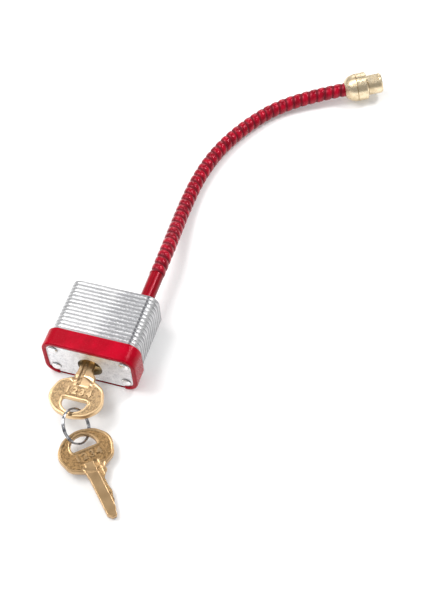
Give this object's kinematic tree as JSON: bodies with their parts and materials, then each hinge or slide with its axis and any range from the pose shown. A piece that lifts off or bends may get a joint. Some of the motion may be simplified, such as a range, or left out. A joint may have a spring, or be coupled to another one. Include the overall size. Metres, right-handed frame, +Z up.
{
  "type": "cable luggage padlock",
  "caption": "Small laminated padlock with a flexible red-sleeved cable shackle that ends in a notched brass tip, a key in its plug and a spare key on a split ring.",
  "frame": {"origin": "on the bumper's back face, midway across it and midway along the bumper's sides, on the surface that the lock lies on", "axes": "+X across the lock's width, +Y from the keyway face to the face that the cable leaves, +Z up out of the lock's front face"},
  "size_m": [0.0735, 0.1885, 0.0162],
  "materials": {
    "steel_plate": "satin",
    "rivet_steel": "satin",
    "red_vinyl": "gloss",
    "cylinder_brass": "satin",
    "plug_brass": "satin",
    "pin_brass": "satin",
    "pin_steel": "satin",
    "spring_steel": "satin",
    "lever_steel": "satin",
    "core_steel": "satin",
    "red_sleeve": "gloss",
    "red_cable": "gloss",
    "ferrule_brass": "satin",
    "key_brass": "satin",
    "ring_steel": "polished"
  },
  "bodies": {
    "body": {"plate_01": "steel_plate", "plate_02": "steel_plate", "plate_03": "steel_plate", "plate_04": "steel_plate", "plate_05": "steel_plate", "plate_06": "steel_plate", "plate_07": "steel_plate", "plate_08": "steel_plate", "plate_09": "steel_plate", "plate_10": "steel_plate", "plate_11": "steel_plate", "plate_12": "steel_plate", "plate_13": "steel_plate", "plate_14": "steel_plate", "plate_15": "steel_plate", "plate_16": "steel_plate", "plate_17": "steel_plate", "plate_18": "steel_plate", "body_rivets": "rivet_steel", "bumper": "red_vinyl", "cylinder_case": "cylinder_brass", "chamber_cover": "cylinder_brass", "pin_springs": "spring_steel", "driver_pin_1": "pin_steel", "driver_pin_2": "pin_steel", "driver_pin_3": "pin_steel", "driver_pin_4": "pin_steel", "cable_anchor": "lever_steel", "cable_sleeve": "red_sleeve", "cable_core": "core_steel", "cable_cord": "red_cable", "end_ferrule": "ferrule_brass", "toe_lever_spring": "spring_steel", "heel_lever_spring": "spring_steel"},
    "plug": {"plug": "plug_brass", "plug_clip": "spring_steel", "lock_cam": "lever_steel", "key_pin_1": "pin_brass", "key_pin_2": "pin_brass", "key_pin_3": "pin_brass", "key_pin_4": "pin_brass"},
    "toe_lever": {"toe_lever": "lever_steel"},
    "heel_lever": {"heel_lever": "lever_steel"},
    "key": {"key_in_lock": "key_brass"},
    "key_ring": {"key_ring": "ring_steel"},
    "spare_key": {"key_spare": "key_brass"}
  },
  "joints": [
    {"name": "plug_turn", "type": "hinge", "parent": "body", "child": "plug", "pos_m": [0, 0, 0.0073], "axis": [0, 1, 0], "range_deg": [0, 90], "stiffness_Nm_per_rad": 0.002, "springref_deg": -28.65},
    {"name": "toe_lever_slide", "type": "slide", "parent": "body", "child": "toe_lever", "axis": [1, 0, 0], "range_m": [0, 0.0018], "deforming": ["toe_lever_spring"]},
    {"name": "heel_lever_slide", "type": "slide", "parent": "body", "child": "heel_lever", "axis": [-1, 0, 0], "range_m": [0, 0.0018], "deforming": ["heel_lever_spring"]},
    {"name": "key_slide", "type": "slide", "parent": "plug", "child": "key", "axis": [0, -1, 0], "range_m": [0, 0.012]},
    {"name": "ring_swing", "type": "hinge", "parent": "key", "child": "key_ring", "pos_m": [0.0019, -0.0204, 0.0073], "axis": [1, 0, 0], "range_deg": [-60, 10]},
    {"name": "spare_key_swing", "type": "hinge", "parent": "key_ring", "child": "spare_key", "pos_m": [0.00297, -0.02291, 0.00608], "axis": [0.798, 0.108, 0.593], "range_deg": [-75, 30]}
  ],
  "couplings": [
    {"joint": "toe_lever_slide", "follows": "plug_turn", "m_per_rad": 0.001145},
    {"joint": "heel_lever_slide", "follows": "plug_turn", "m_per_rad": 0.001145}
  ]
}
